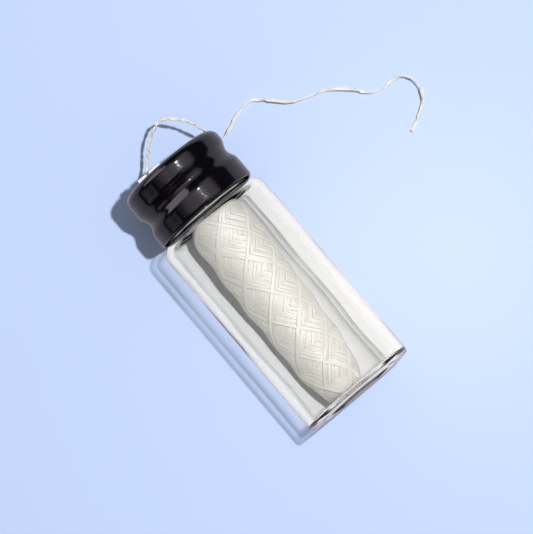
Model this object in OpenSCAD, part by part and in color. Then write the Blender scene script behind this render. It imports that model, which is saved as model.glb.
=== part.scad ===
// Dental floss dispenser: a glass vial that holds a roll of floss, with a black
// metal screw cap. The floss leaves through an eyelet in the cap's sunk top, next
// to a small steel cutter. The vial lies on its side, base towards -X, cap towards
// +X. The origin is at the bottom centre of the vial and cap. Sizes are millimetres.

/* [Glass vial] */
// Outer radius of the vial's body
vial_r = 12.75; // [11:0.05:15]
// Height of the body, from the base to the top of the shoulder
body_h = 47.6; // [40:0.1:60]
// Wall of the body
vial_wall = 1.5; // [1:0.05:2.2]
// Thickness of the base at its standing ring
base_t = 1.5; // [1.2:0.05:2.5]
// Height of the hollow under the base
push_up = 0.6; // [0.2:0.05:0.9]
// Inner radius of the standing ring
ring_inner_r = 9; // [7:0.1:10.5]
// Radius of the heel, between the base and the side
heel_r = 1.2; // [0.6:0.05:1.6]
// Radius of the shoulder
shoulder_r = 2.6; // [2:0.05:3.2]
// Clearance between the plain neck and the deepest part of the cap's groove
neck_gap = 0.46; // [0.3:0.02:1]
// Wall of the neck
neck_wall = 1.4; // [1.1:0.05:1.8]
// Height of the neck above the shoulder
neck_h = 10.65; // [9.8:0.05:14]

/* [Cap] */
// Outer radius of the cap
cap_r = 11.8; // [11.6:0.05:12.6]
// Thickness of the cap's sheet metal
cap_wall = 0.4; // [0.3:0.05:0.5]
// Gap between the shoulder and the cap's lower edge
cap_gap = 0.4; // [0.2:0.05:1]
// Depth of the sunk panel below the rim
dish_depth = 0.9; // [0.7:0.05:1.2]
// Radius of the corner between the side and the rim
crown_r = 2; // [1.6:0.05:2.1]
// How far the lower edge is drawn in
edge_tuck = 0.3; // [0:0.05:0.4]
// Height over which the lower edge is drawn in
edge_run = 2; // [1:0.1:3]
// Depth of the rolled thread groove
groove_depth = 0.84; // [0.5:0.02:0.86]
// Half the width of the thread groove
groove_half = 2.7; // [2:0.05:2.8]
// Rise of the thread in one turn
thread_lead = 3.6; // [2.4:0.1:4]
// Height of the groove above the cap's lower edge, at the front
groove_rise = 6.15; // [5.5:0.05:6.4]
// Angle that the groove runs round the cap
groove_span = 330; // [270:1:350]

/* [Liner and eyelet] */
// Thickness of the sealing liner
liner_t = 1; // [0.8:0.05:1.4]
// Gap between the liner's edge and the cap's side
liner_side_gap = 0.5; // [0.4:0.05:1]
// Gap between the liner and the glass lip
liner_gap = 0.05; // [0.02:0.01:0.1]
// Radius of the eyelet's bore
eyelet_bore_r = 0.75; // [0.6:0.05:0.9]
// Wall of the eyelet's barrel
eyelet_wall = 0.4; // [0.25:0.05:0.5]
// Width of the eyelet's flanges beyond the barrel
flange_w = 0.6; // [0.4:0.05:0.8]
// Thickness of the eyelet's flanges
flange_t = 0.35; // [0.25:0.05:0.45]
// Clearance round the eyelet and the rivet
fit_gap = 0.05; // [0.02:0.01:0.1]

/* [Cutter] */
// Thickness of the cutter's steel sheet
cutter_t = 0.35; // [0.25:0.05:0.4]
// Height of the blade's edge above the panel
blade_h = 1.76; // [1.4:0.02:1.8]
// Length of the blade's edge
blade_len = 5.65; // [4.5:0.05:5.7]
// Distance from the cap's axis to the blade's outer face
blade_reach = 4.7; // [4.4:0.05:5.2]
// Clearance between the blade's far corner and the side of the sunk panel
blade_gap = 1.08; // [0.5:0.02:1.5]
// Length of the cutter's foot behind the blade
foot_len = 7.3; // [6:0.1:7.6]
// Radius of the bend between the foot and the blade, on its inside
bend_r = 0.3; // [0.15:0.05:0.5]
// Height of the ground bevel along the blade's edge
bevel_h = 0.5; // [0.2:0.05:0.6]
// Depth of the notch that parks the floss
notch_depth = 0.7; // [0.4:0.05:0.9]
// Width of the notch at the edge
notch_w = 0.9; // [0.6:0.05:1.4]
// Clearance between the foot and the eyelet
foot_gap = 0.2; // [0.1:0.05:0.4]
// Radius of the rivet's shank
rivet_r = 0.6; // [0.45:0.05:0.7]
// Radius of the rivet's head
rivet_head_r = 1.1; // [0.9:0.05:1.3]
// Height of the rivet's head
rivet_head_h = 0.45; // [0.3:0.05:0.6]

/* [Floss roll] */
// Radius of the roll along its body
roll_r = 6.7; // [5.8:0.05:6.8]
// Radius of the roll's foot end
roll_foot_r = 4.2; // [3.9:0.05:5]
// Radius of the roll's head end
roll_head_r = 5.2; // [4.6:0.05:5.6]
// Swell of the roll towards its head
roll_swell = 0.1; // [0:0.01:0.2]
// Length over which the foot fills out
foot_run = 5.2; // [4:0.1:7]
// Length over which the head is drawn in
head_run = 7; // [5:0.1:9]
// Distance from the roll's head to the glass lip
head_room = 10.25; // [9:0.05:14]
// Clearance between the roll's foot and the vial's floor
foot_clear = 0.5; // [0.45:0.05:1.5]
// Clearance between the roll and the wall that it lies on
side_clear = 0.2; // [0.15:0.05:0.5]
// Radius of the hole in the roll's head that the floss is drawn from
bore_r = 1.6; // [1.2:0.05:1.8]
// Depth of that hole
bore_depth = 12; // [8:0.5:20]

/* [Winding] */
// Diameter of the wound floss as it is drawn here
wind_d = 0.7; // [0.6:0.02:0.72]
// Pairs of passes, one up and one down the roll
wind_pairs = 12; // [8:1:12]
// Rise from the inner level of passes to the outer level
level_step = 1.35; // [1.3:0.01:1.5]
// Clearance between the inner level and the packed floss under it
wind_gap = 0.15; // [0.12:0.01:0.3]

/* [Floss strand] */
// Diameter of the free floss
floss_d = 0.8; // [0.6:0.02:0.9]

/* [Hidden] */
$fn = 96;
arc_steps = 7;

// The neck and the liner take their sizes from the cap
neck_r = cap_r - cap_wall - groove_depth - neck_gap;
neck_bore_r = neck_r - neck_wall;
liner_r = cap_r - cap_wall - liner_side_gap;

// Heights along the vial's axis, from its base
lip_z = body_h + neck_h;
panel_under_z = lip_z + liner_gap + liner_t;
panel_z = panel_under_z + cap_wall;
rim_z = panel_z + dish_depth;
blade_z = panel_z + blade_h;
cap_z = body_h + cap_gap;
total_len = blade_z;
vial_inner_r = vial_r - vial_wall;
neck_fillet_r = 0.3;
lip_edge_r = 0.35;
mouth_round_r = 0.8;
inner_corner_r = heel_r;
push_up_run = 1.6;

// The vial's own frame has x up from the axis, y sideways and z along the axis
// towards the cap. Laid down, that frame's z runs along +X and its x along +Z.
module lay() {
    translate([-total_len / 2, 0, vial_r])
        rotate([0, 90, 0])
            rotate([0, 0, 180])
                children();
}

// Points of an arc, with its centre at c, from angle a to angle b
function arc(c, r, a, b, n = arc_steps) =
    [for (i = [0:n]) let (t = a + (b - a) * i / n) c + r * [cos(t), sin(t)]];

function unit(v) = v / norm(v);
function smooth(t) = let (c = max(0, min(1, t))) c * c * (3 - 2 * c);

// Blown glass: a hollow base on a flat standing ring, a straight body, a round
// shoulder and a plain neck
function vial_outline() = concat(
    [[0, push_up], [ring_inner_r - push_up_run, push_up]],
    [for (i = [1:4]) let (t = i / 5)
        [ring_inner_r - push_up_run * (1 - t), push_up * (1 - smooth(t))]],
    [[ring_inner_r, 0]],
    arc([vial_r - heel_r, heel_r], heel_r, -90, 0),
    arc([vial_r - shoulder_r, body_h - shoulder_r], shoulder_r, 0,
        acos(max(0, (neck_r + neck_fillet_r - vial_r + shoulder_r) / shoulder_r)) - 0.5),
    arc([neck_r + neck_fillet_r, body_h + neck_fillet_r], neck_fillet_r, 270, 180, 4),
    arc([neck_r - lip_edge_r, lip_z - lip_edge_r], lip_edge_r, 0, 90, 4),
    arc([neck_bore_r + lip_edge_r, lip_z - lip_edge_r], lip_edge_r, 90, 180, 4),
    arc([neck_bore_r + mouth_round_r, body_h - vial_wall + mouth_round_r],
        mouth_round_r, 180, 270, 5),
    arc([vial_r - shoulder_r, body_h - shoulder_r], shoulder_r - vial_wall, 90, 0),
    arc([vial_inner_r - inner_corner_r, base_t + inner_corner_r], inner_corner_r, 0, -90),
    [[0, base_t]]);

module glass_vial() {
    color([0.78, 0.87, 0.94, 0.45])
        lay()
            rotate_extrude()
                polygon(vial_outline());
}

// Thread groove rolled into the cap's side: a right-hand helix, fading at the back
groove_z = cap_z + groove_rise;
groove_fade = 45;
function groove_at(a, z) =
    let (off = abs(z - groove_z - thread_lead * a / 360) / groove_half)
        off >= 1 ? 0 : groove_depth * (0.5 + 0.5 * cos(180 * off))
            * smooth((groove_span / 2 - abs(a)) / groove_fade);
function side_r(a, z) =
    cap_r - edge_tuck * pow(max(0, 1 - (z - cap_z) / edge_run), 2) - groove_at(a, z);

// The side is a thin wall of rings. Its last ring dips into the crown's wall.
side_n = 48;
side_step = 0.5;
crown_z = rim_z - crown_r - 0.3;
crown_lap = 0.5;
side_zs = let (n = ceil((crown_z - cap_z) / side_step))
    [for (i = [0:n]) cap_z + (crown_z + 0.05 - cap_z) * i / n];

module cap_side() {
    lap_r = cap_r - cap_wall / 2;
    lap = cap_wall / 8;
    rows = len(side_zs);
    inset = 0.01;
    outer = [for (i = [0:rows - 1]) [for (k = [0:side_n - 1])
        let (a = k * 360 / side_n - 180, r = side_r(a, side_zs[i]) - inset)
            [r * cos(a), r * sin(a), side_zs[i]]]];
    inner = [for (i = [rows - 1:-1:0]) [for (k = [0:side_n - 1])
        let (a = k * 360 / side_n - 180, r = side_r(a, side_zs[i]) - cap_wall + inset)
            [r * cos(a), r * sin(a), side_zs[i]]]];
    lap_rings = [for (s = [1, -1]) [for (k = [0:side_n - 1])
        let (a = k * 360 / side_n - 180, r = lap_r + s * lap)
            [r * cos(a), r * sin(a), crown_z + crown_lap]]];
    rings = concat(outer, lap_rings, inner);
    m = len(rings);
    polyhedron(
        points = [for (ring = rings) for (p = ring) p],
        faces = [for (i = [0:m - 1]) for (k = [0:side_n - 1])
            let (i2 = (i + 1) % m, k2 = (k + 1) % side_n,
                a = i * side_n + k, b = i * side_n + k2,
                c = i2 * side_n + k2, d = i2 * side_n + k)
                each [[a, c, b], [a, d, c]]],
        convexity = 6);
}

// Crown: round corner, rolled rim and the sunk panel, pressed from the same sheet
rim_roll_r = 0.45;
dish_fillet_r = 0.3;
dish_wall_r = cap_r - crown_r - rim_roll_r;
module cap_crown() {
    rotate_extrude()
        polygon(concat(
            [[cap_r, crown_z]],
            arc([cap_r - crown_r, rim_z - crown_r], crown_r, 0, 90),
            arc([dish_wall_r + rim_roll_r, rim_z - rim_roll_r], rim_roll_r, 90, 180, 5),
            arc([dish_wall_r - dish_fillet_r, panel_z + dish_fillet_r], dish_fillet_r, 0, -90, 4),
            [[eyelet_hole_r, panel_z], [eyelet_hole_r, panel_under_z]],
            arc([dish_wall_r - dish_fillet_r, panel_z + dish_fillet_r],
                dish_fillet_r + cap_wall, -90, 0, 5),
            [[dish_wall_r + cap_wall, rim_z - rim_roll_r]],
            arc([cap_r - crown_r, rim_z - crown_r], crown_r - cap_wall, 90, 0),
            [[cap_r - cap_wall, crown_z]]));
}

module cap_shell() {
    color([0.07, 0.07, 0.08])
        lay()
            difference() {
                union() {
                    cap_side();
                    cap_crown();
                }
                rivet_place()
                    translate([0, 0, panel_under_z - over])
                        cylinder(h = cap_wall + 2 * over, r = rivet_r + fit_gap);
            }
}

// Liner: a soft disc between the cap's panel and the glass lip
liner_edge_r = 0.2;
eyelet_r = eyelet_bore_r + eyelet_wall;
eyelet_hole_r = eyelet_r + fit_gap;
module cap_liner() {
    low = lip_z + liner_gap;
    color([0.9, 0.89, 0.85])
        lay()
            rotate_extrude()
                polygon(concat(
                    [[eyelet_hole_r, low]],
                    arc([liner_r - liner_edge_r, low + liner_edge_r], liner_edge_r, -90, 0, 4),
                    arc([liner_r - liner_edge_r, panel_under_z - liner_edge_r],
                        liner_edge_r, 0, 90, 4),
                    [[eyelet_hole_r, panel_under_z]]));
}

// Eyelet: a rolled ring that lines the hole and clinches panel and liner together
mouth_flare = 0.2;
mouth_z = panel_z + flange_t;
module floss_eyelet() {
    low = lip_z + liner_gap;
    tip_r = flange_t / 2;
    reach = eyelet_r + flange_w - tip_r;
    color([0.75, 0.75, 0.77])
        lay()
            rotate_extrude()
                polygon(concat(
                    [[eyelet_bore_r, low - flange_t + mouth_flare],
                        [eyelet_bore_r + mouth_flare, low - flange_t]],
                    arc([reach, low - tip_r], tip_r, -90, 90, 5),
                    [[eyelet_r, low], [eyelet_r, panel_z]],
                    arc([reach, panel_z + tip_r], tip_r, -90, 90, 5),
                    [[eyelet_bore_r + mouth_flare, mouth_z],
                        [eyelet_bore_r, mouth_z - mouth_flare]]));
}

// Cutter: a bent strip of spring steel, riveted to the panel by its foot. The blade
// stands across the panel, ground to an edge, with a notch that parks the floss.
blade_bend_r = bend_r + cutter_t;
// Distance from the cap's axis to the middle of the blade, sideways
blade_side = sqrt(pow(dish_wall_r - blade_gap, 2) - pow(blade_reach, 2)) - blade_len / 2;
rivet_x = blade_reach - foot_len / 2;
// The notch and the rivet sit a little beyond the blade's middle
park_y = -blade_side - 0.4;
notch_floor_w = 0.24;
foot_corner_r = 0.8;
sharp_t = 0.08;
// How far a cut runs past the faces that it opens
over = 1;
module rivet_place() {
    translate([rivet_x, park_y, 0])
        children();
}

module cutter_blade() {
    far_x = blade_reach - foot_len;
    inner_x = blade_reach - cutter_t;
    profile = concat(
        [[far_x, 0]],
        arc([blade_reach - blade_bend_r, blade_bend_r], blade_bend_r, -90, 0),
        [[blade_reach, blade_h], [blade_reach - sharp_t, blade_h], [inner_x, blade_h - bevel_h]],
        arc([blade_reach - blade_bend_r, blade_bend_r], bend_r, 0, -90),
        [[far_x, cutter_t]]);
    color([0.8, 0.81, 0.83])
        lay()
            difference() {
                translate([0, -blade_side + blade_len / 2, panel_z])
                    rotate([90, 0, 0])
                        linear_extrude(blade_len)
                            polygon(profile);
                // Notch in the middle of the edge
                translate([blade_reach, park_y, blade_z])
                    rotate([0, -90, 0])
                        translate([0, 0, -over])
                            linear_extrude(2 * over + cutter_t)
                                polygon([[over, notch_w / 2], [0, notch_w / 2],
                                    [-notch_depth, notch_floor_w / 2],
                                    [-notch_depth, -notch_floor_w / 2],
                                    [0, -notch_w / 2], [over, -notch_w / 2]]);
                // Round bite round the eyelet
                translate([0, 0, panel_z - over])
                    cylinder(h = over + cutter_t + bend_r, r = eyelet_r + flange_w + foot_gap);
                // Round corners of the foot
                for (s = [-1, 1])
                    translate([far_x, -blade_side + s * blade_len / 2, panel_z - over])
                        rotate([0, 0, s < 0 ? 0 : -90])
                            difference() {
                                translate([-over, -over, 0])
                                    cube([over + foot_corner_r, over + foot_corner_r,
                                        2 * over + cutter_t]);
                                translate([foot_corner_r, foot_corner_r, -over])
                                    cylinder(h = 4 * over + cutter_t, r = foot_corner_r);
                            }
                rivet_place()
                    translate([0, 0, panel_z - over])
                        cylinder(h = 2 * over + cutter_t, r = rivet_r + fit_gap);
            }
}

module cutter_rivet() {
    head_z = panel_z + cutter_t;
    dome_r = (rivet_head_r * rivet_head_r + rivet_head_h * rivet_head_h) / (2 * rivet_head_h);
    dome_a = asin(rivet_head_r / dome_r);
    color([0.7, 0.71, 0.73])
        lay()
            rivet_place()
                rotate_extrude()
                    polygon(concat(
                        [[0, panel_under_z], [rivet_r, panel_under_z], [rivet_r, head_z]],
                        arc([0, head_z + rivet_head_h - dome_r], dome_r, 90 - dome_a, 90, 5)));
}

// Roll of floss, cross-wound with no spool. s is the distance along its own axis.
roll_foot_z = base_t + foot_clear;
roll_head_z = lip_z - head_room;
roll_rise = roll_head_z - roll_foot_z;
function envelope_r(s) =
    roll_foot_r + (roll_r - roll_foot_r) * (1 - exp(-s / foot_run))
        + roll_swell * s / roll_rise
        - (roll_r - roll_head_r) * pow(max(0, (s - roll_rise + head_run) / head_run), 3);

// The roll lies on the wall near its foot and on the edge of the neck near its head
foot_side = -2.1;
head_side = 0.3;
function side_at(s) = foot_side + (head_side - foot_side) * s / roll_rise;
rest_s = 10;
neck_s = body_h - vial_wall - roll_foot_z + 0.3;
neck_clear = side_clear + 0.08;
rest_x = -sqrt(pow(vial_inner_r - side_clear - envelope_r(rest_s), 2) - pow(side_at(rest_s), 2));
neck_x = -sqrt(pow(neck_bore_r - neck_clear - envelope_r(neck_s), 2) - pow(side_at(neck_s), 2));
function drop_at(s) = rest_x + (neck_x - rest_x) * (s - rest_s) / (neck_s - rest_s);
foot_p = [drop_at(0), foot_side, roll_foot_z];
head_p = [drop_at(roll_rise), head_side, roll_head_z];
roll_len = norm(head_p - foot_p);
roll_dir = unit(head_p - foot_p);
roll_x = unit(cross([0, 1, 0], roll_dir));
roll_y = cross(roll_dir, roll_x);
function on_roll(p) = foot_p + p[0] * roll_x + p[1] * roll_y + p[2] * roll_dir;

module in_roll() {
    lay()
        multmatrix([
            [roll_x[0], roll_y[0], roll_dir[0], foot_p[0]],
            [roll_x[1], roll_y[1], roll_dir[1], foot_p[1]],
            [roll_x[2], roll_y[2], roll_dir[2], foot_p[2]],
            [0, 0, 0, 1]])
            children();
}

wind_r = wind_d / 2;
core_sink = 2 * wind_r + level_step + wind_gap;
core_end = wind_d;
module floss_core() {
    steps = 14;
    span = roll_len - 2 * core_end;
    color([0.93, 0.92, 0.87])
        in_roll()
            rotate_extrude()
                polygon(concat(
                    [[0, core_end]],
                    [for (i = [0:steps]) let (s = core_end + span * i / steps)
                        [envelope_r(s) - core_sink, s]],
                    [[bore_r, roll_len - core_end], [bore_r, roll_len - core_end - bore_depth],
                        [0, roll_len - core_end - bore_depth]]));
}

// Winding: one tube that climbs the roll on the inner level and comes back down on
// the outer level. It turns round at each end and changes level in the turn.
pass_angle = 360 - 180 / wind_pairs;
turn_half = 22;
level_half = 11;
wind_low = wind_r;
wind_high = roll_len - wind_r;
pass_slope = (wind_high - wind_low) / (pass_angle - turn_half);
function climb(x) = x < turn_half ? pass_slope * x * x / (2 * turn_half)
    : x > pass_angle - turn_half
        ? wind_high - wind_low - pass_slope * pow(pass_angle - x, 2) / (2 * turn_half)
    : pass_slope * (x - turn_half / 2);
function level(pass, x) =
    let (early = smooth(0.5 + 0.5 * x / level_half),
        late = smooth(0.5 + 0.5 * (pass_angle - x) / level_half),
        own = min(early, late))
        pass % 2 == 0 ? 1 - own : own;
function wind_point(pass, x) =
    let (up = pass % 2 == 0, s = up ? wind_low + climb(x) : wind_high - climb(x),
        a = pass * pass_angle + x,
        r = envelope_r(s) - wind_r - (1 - level(pass, x)) * level_step)
        [r * cos(a), r * sin(a), s];

turn_rings = 5;
pass_rings = 13;
turn_zone = 30;
ring_xs = concat(
    [for (i = [0:turn_rings - 1]) turn_zone * i / turn_rings],
    [for (i = [0:pass_rings - 1]) turn_zone + (pass_angle - 2 * turn_zone) * i / pass_rings],
    [for (i = [0:turn_rings - 1]) pass_angle - turn_zone + turn_zone * i / turn_rings]);
passes = 2 * wind_pairs;
wind_mid = [for (p = [0:passes - 1]) for (x = ring_xs)
    if ((p > 0 || x >= turn_zone) && (p < passes - 1 || x <= pass_angle - turn_zone))
        wind_point(p, x)];
wind_last = len(wind_mid) - 1;
wind_path = concat(
    [wind_mid[0] - wind_d * unit(wind_mid[1] - wind_mid[0])],
    wind_mid,
    [wind_mid[wind_last] + wind_d * unit(wind_mid[wind_last] - wind_mid[wind_last - 1])]);

// Least gap of the winding to itself, measured from one pair of passes to the rest
function from_segment(p, a, b) =
    let (d = b - a, t = max(0, min(1, ((p - a) * d) / (d * d)))) norm(p - a - t * d);
near_rings = 7;
pair_rings = 2 * len(ring_xs);
wind_gap_least = min([for (i = [4 * pair_rings:5 * pair_rings]) for (f = [0, 0.25, 0.5, 0.75])
    let (p = wind_path[i] + f * (wind_path[i + 1] - wind_path[i]))
        for (j = [0:len(wind_path) - 2])
            if (abs(i - j) > near_rings) from_segment(p, wind_path[j], wind_path[j + 1])])
    - wind_d;

// Direction of a path at each of its points, starting in a given direction if there is one
function headings(path, start) = let (n = len(path) - 1)
    [for (i = [0:n]) i == 0 && !is_undef(start) ? start
        : unit(path[min(n, i + 1)] - path[max(0, i - 1)])];

// Tube of flat-sided rings along a path. Each ring's first corner points along up[i].
function ring_corners(c, t, up, r, sides) =
    let (n = unit(up - (up * t) * t), b = cross(t, n))
        [for (k = [0:sides - 1]) c + r * (cos(360 * k / sides) * n + sin(360 * k / sides) * b)];
module tube(path, ups, r, sides, start) {
    ts = headings(path, start);
    n = len(path);
    side_faces = [for (i = [0:n - 2]) for (k = [0:sides - 1])
        let (k2 = (k + 1) % sides, a = i * sides + k, b = i * sides + k2,
            c = a + sides, d = b + sides)
            each [[a, d, b], [a, c, d]]];
    caps = [for (k = [1:sides - 2])
        each [[0, k, k + 1], [(n - 1) * sides, (n - 1) * sides + k + 1, (n - 1) * sides + k]]];
    polyhedron(
        points = [for (i = [0:n - 1]) each ring_corners(path[i], ts[i], ups[i], r, sides)],
        faces = concat(side_faces, caps),
        convexity = 10);
}

wind_sides = 6;
module floss_winding() {
    echo(least_gap_of_winding = wind_gap_least, loops = passes * pass_angle / 360,
        rings = len(wind_path));
    ups = [for (p = wind_path) [p[0], p[1], 0]];
    color([0.96, 0.95, 0.9])
        in_roll()
            tube(wind_path, ups, wind_r, wind_sides);
}

// Smooth curve through points, with more steps on the longer spans
function spline_at(p, i, t) =
    let (n = len(p) - 1, a = p[max(0, i - 1)], b = p[i], c = p[i + 1], d = p[min(n, i + 2)])
        0.5 * (2 * b + (c - a) * t + (2 * a - 5 * b + 4 * c - d) * t * t
            + (3 * b - a - 3 * c + d) * t * t * t);
long_span = 1.6;
function spline(p) = concat(
    [for (i = [0:len(p) - 2]) let (n = norm(p[i + 1] - p[i]) > long_span ? 2 : 1)
        for (k = [0:n - 1]) spline_at(p, i, k / n)],
    [p[len(p) - 1]]);
// Directions square to the path that turn as little as they can
function carried(path, first) =
    let (ts = headings(path))
        [for (i = 0, u = first; i < len(path);
            i = i + 1, u = i < len(path) ? unit(u - (u * ts[i]) * ts[i]) : u) u];

// Lead: the floss from the hole in the roll's head up to the eyelet's mouth
lead_gap = 0.02;
lead_start = roll_len - core_end - bore_depth + lead_gap;
lead_points = [
    on_roll([0, 0, lead_start]),
    on_roll([0, 0, lead_start + bore_depth / 3]),
    on_roll([0, 0, lead_start + 2 * bore_depth / 3]),
    on_roll([0, 0, roll_len]),
    [head_p[0] * 0.72, head_p[1] * 0.8, roll_head_z + 0.4 * (lip_z - roll_head_z)],
    [head_p[0] * 0.3, head_p[1] * 0.4, roll_head_z + 0.75 * (lip_z - roll_head_z)],
    [head_p[0] * 0.04, 0, lip_z - 0.2],
    [0, 0, lip_z + 0.8],
    [0, 0, mouth_z]];

// Strand: out of the eyelet, round the loop in front of the cap, down past the rim to
// the surface that the vial lies on, and along it in low arches to the loose end.
// Points are in the vial's frame, chosen by hand.
strand_points = [
    [0, 0, mouth_z],
    [-0.49, -0.83, 61.38],
    [-1.44, -2.14, 61.92],
    [-3.49, -4, 62.08],
    [-5.29, -4.7, 62.21],
    [-6.68, -4.45, 62.81],
    [-7.44, -3.58, 63.75],
    [-7.23, -2.21, 65.12],
    [-5.74, 0.15, 67.07],
    [-4.46, 2.81, 68.42],
    [-3.83, 4.45, 68.73],
    [-3.2, 6.15, 67.95],
    [-2.27, 8.33, 65.52],
    [-1.92, 9.49, 63.4],
    [-2.44, 9.98, 62.1],
    [-3.68, 10.19, 61.37],
    [-6.11, 9.89, 61.16],
    [-8.55, 9.48, 60.79],
    [-9.92, 9.65, 60.01],
    [-10.78, 10.56, 58.97],
    [-11.11, 12, 58.47],
    [-11.46, 13.9, 58.94],
    [-12.09, 17.01, 60.33],
    [-12.35, 19.86, 61.01],
    [-11.87, 22.03, 60.47],
    [-10.86, 24.55, 58.21],
    [-10.96, 27.19, 55.56],
    [-12.06, 30.4, 53.93],
    [-12.27, 33.94, 52.65],
    [-11.22, 36.92, 50.81],
    [-11.11, 39.43, 48.2],
    [-11.86, 40.99, 46.21],
    [-12.34, 43.3, 45.28],
    [-11.87, 46.4, 45.04],
    [-11.19, 48.39, 44.37],
    [-10.5, 49.53, 42.72],
    [-10.24, 49.68, 40.31],
    [-10.67, 48.64, 38.14],
    [-11.64, 45.97, 36.22],
    [-12.35, 42.6, 34.64]];

floss_sides = 8;
module floss_lead() {
    path = spline(lead_points);
    color([0.96, 0.95, 0.9])
        lay()
            tube(path, carried(path, [0, 1, 0]), floss_d / 2, floss_sides);
}

module floss_strand() {
    path = spline(strand_points);
    color([0.96, 0.95, 0.9])
        lay()
            tube(path, carried(path, [0, 1, 0]), floss_d / 2, floss_sides, [0, 0, 1]);
}

glass_vial();
cap_shell();
cap_liner();
floss_eyelet();
cutter_blade();
cutter_rivet();
floss_core();
floss_winding();
floss_lead();
floss_strand();
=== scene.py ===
import math

import bmesh
import bpy
import numpy as np
from mathutils import Matrix, Vector


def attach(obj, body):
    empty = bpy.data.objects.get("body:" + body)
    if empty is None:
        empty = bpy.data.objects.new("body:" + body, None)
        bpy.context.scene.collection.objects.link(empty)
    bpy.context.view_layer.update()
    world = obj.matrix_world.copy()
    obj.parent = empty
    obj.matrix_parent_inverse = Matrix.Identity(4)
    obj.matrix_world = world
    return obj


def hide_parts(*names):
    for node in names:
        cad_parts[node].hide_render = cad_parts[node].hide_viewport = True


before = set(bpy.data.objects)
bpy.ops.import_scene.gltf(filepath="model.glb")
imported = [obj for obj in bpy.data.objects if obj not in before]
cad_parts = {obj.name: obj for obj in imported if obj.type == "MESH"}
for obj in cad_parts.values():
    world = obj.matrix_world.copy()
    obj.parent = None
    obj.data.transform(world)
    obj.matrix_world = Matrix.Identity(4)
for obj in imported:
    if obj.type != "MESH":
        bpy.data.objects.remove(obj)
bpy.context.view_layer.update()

scene = bpy.context.scene


# Camera: the vial is seen from above, a little from its base end, with its cap
# turned to the upper left. The lens is long, as on a camera held high over the table.
CAMERA_TILT = math.radians(4.75)
CAMERA_ROLL = math.radians(40.3)
CAMERA_DISTANCE = 1.2
VIEW_WIDTH = 0.10815
SENSOR_WIDTH = 36
looks_at = Vector((0.00085, -0.00185, 0.01275))
along_view = Vector((math.sin(CAMERA_TILT), 0, -math.cos(CAMERA_TILT)))
vial_up = Vector((math.cos(CAMERA_TILT), 0, math.sin(CAMERA_TILT)))
vial_right = Vector((0, -1, 0))
frame_right = math.cos(CAMERA_ROLL) * vial_right - math.sin(CAMERA_ROLL) * vial_up
frame_up = math.cos(CAMERA_ROLL) * vial_up + math.sin(CAMERA_ROLL) * vial_right
camera_data = bpy.data.cameras.new("camera")
camera_data.sensor_fit = "HORIZONTAL"
camera_data.sensor_width = SENSOR_WIDTH
camera_data.lens = SENSOR_WIDTH * CAMERA_DISTANCE / VIEW_WIDTH
camera = bpy.data.objects.new("camera", camera_data)
scene.collection.objects.link(camera)
camera.matrix_world = Matrix.Translation(looks_at - CAMERA_DISTANCE * along_view) @ Matrix(
    (frame_right, frame_up, -along_view)).transposed().to_4x4()
scene.camera = camera
scene.view_settings.view_transform = "Standard"
scene.cycles.caustics_reflective = False
scene.cycles.caustics_refractive = False


# Floss strand: waxed flat floss, drawn out through the cap's eyelet. It stands in a
# loop in front of the cap, twisted on itself, comes down past the rim and lies along
# the table in low arches to its bare cut end.
VIAL_RADIUS = 12.75
HALF_LENGTH = 30.73
EYELET_MOUTH = 60.05
FLOSS_WIDTH = 0.8
FLOSS_THICKNESS = 0.26
PLIED_WIDTH = 0.8
PLIED_WAIST = 0.15
PLIED_BELLY = 0.14
RIBBON_SIDES = 14
FRAYED_RINGS = 3
FRAY = 0.25
WIDTH_WAVES = ((0.07, 0.83, 0.0), (0.05, 0.31, 0.0))
LOOP_LENGTH = 31.0
LOOP_TWIST = 92.0
TAIL_TWIST = 24.0
TWIST_WAVES = ((34.0, 1.1, 0.0), (22.0, 0.47, 1.0), (50.0, 4.1, 0.0), (26.0, 1.7, 0.0))
OPENED_OUT = 0.85
UNTWIST_START = 29.0
UNTWIST_RUN = 5.0
strand_route = [
    (0, 0, EYELET_MOUTH), (-0.49, -0.83, 61.38), (-1.44, -2.14, 61.92),
    (-3.49, -4, 62.08), (-5.29, -4.7, 62.21), (-6.68, -4.45, 62.81),
    (-7.44, -3.58, 63.75), (-7.23, -2.21, 65.12), (-5.74, 0.15, 67.07),
    (-4.46, 2.81, 68.42), (-3.83, 4.45, 68.73), (-3.2, 6.15, 67.95),
    (-2.27, 8.33, 65.52), (-1.92, 9.49, 63.4), (-2.44, 9.98, 62.1),
    (-3.68, 10.19, 61.37), (-6.11, 9.89, 61.16), (-8.55, 9.48, 60.79),
    (-9.92, 9.65, 60.01), (-10.78, 10.56, 58.97), (-11.11, 12, 58.47),
    (-11.46, 13.9, 58.94), (-12.09, 17.01, 60.33), (-12.35, 19.86, 61.01),
    (-11.87, 22.03, 60.47), (-10.86, 24.55, 58.21), (-10.96, 27.19, 55.56),
    (-12.06, 30.4, 53.93), (-12.27, 33.94, 52.65), (-11.22, 36.92, 50.81),
    (-11.11, 39.43, 48.2), (-11.86, 40.99, 46.21), (-12.34, 43.3, 45.28),
    (-11.87, 46.4, 45.04), (-11.19, 48.39, 44.37), (-10.5, 49.53, 42.72),
    (-10.24, 49.68, 40.31), (-10.67, 48.64, 38.14), (-11.64, 45.97, 36.22),
    (-12.35, 42.6, 34.64)]


def laid_down(up, side, along):
    """A point of the standing vial's own frame, in millimetres, as it lies, in metres."""
    return Vector(((along - HALF_LENGTH) / 1000, -side / 1000, (up + VIAL_RADIUS) / 1000))


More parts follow.
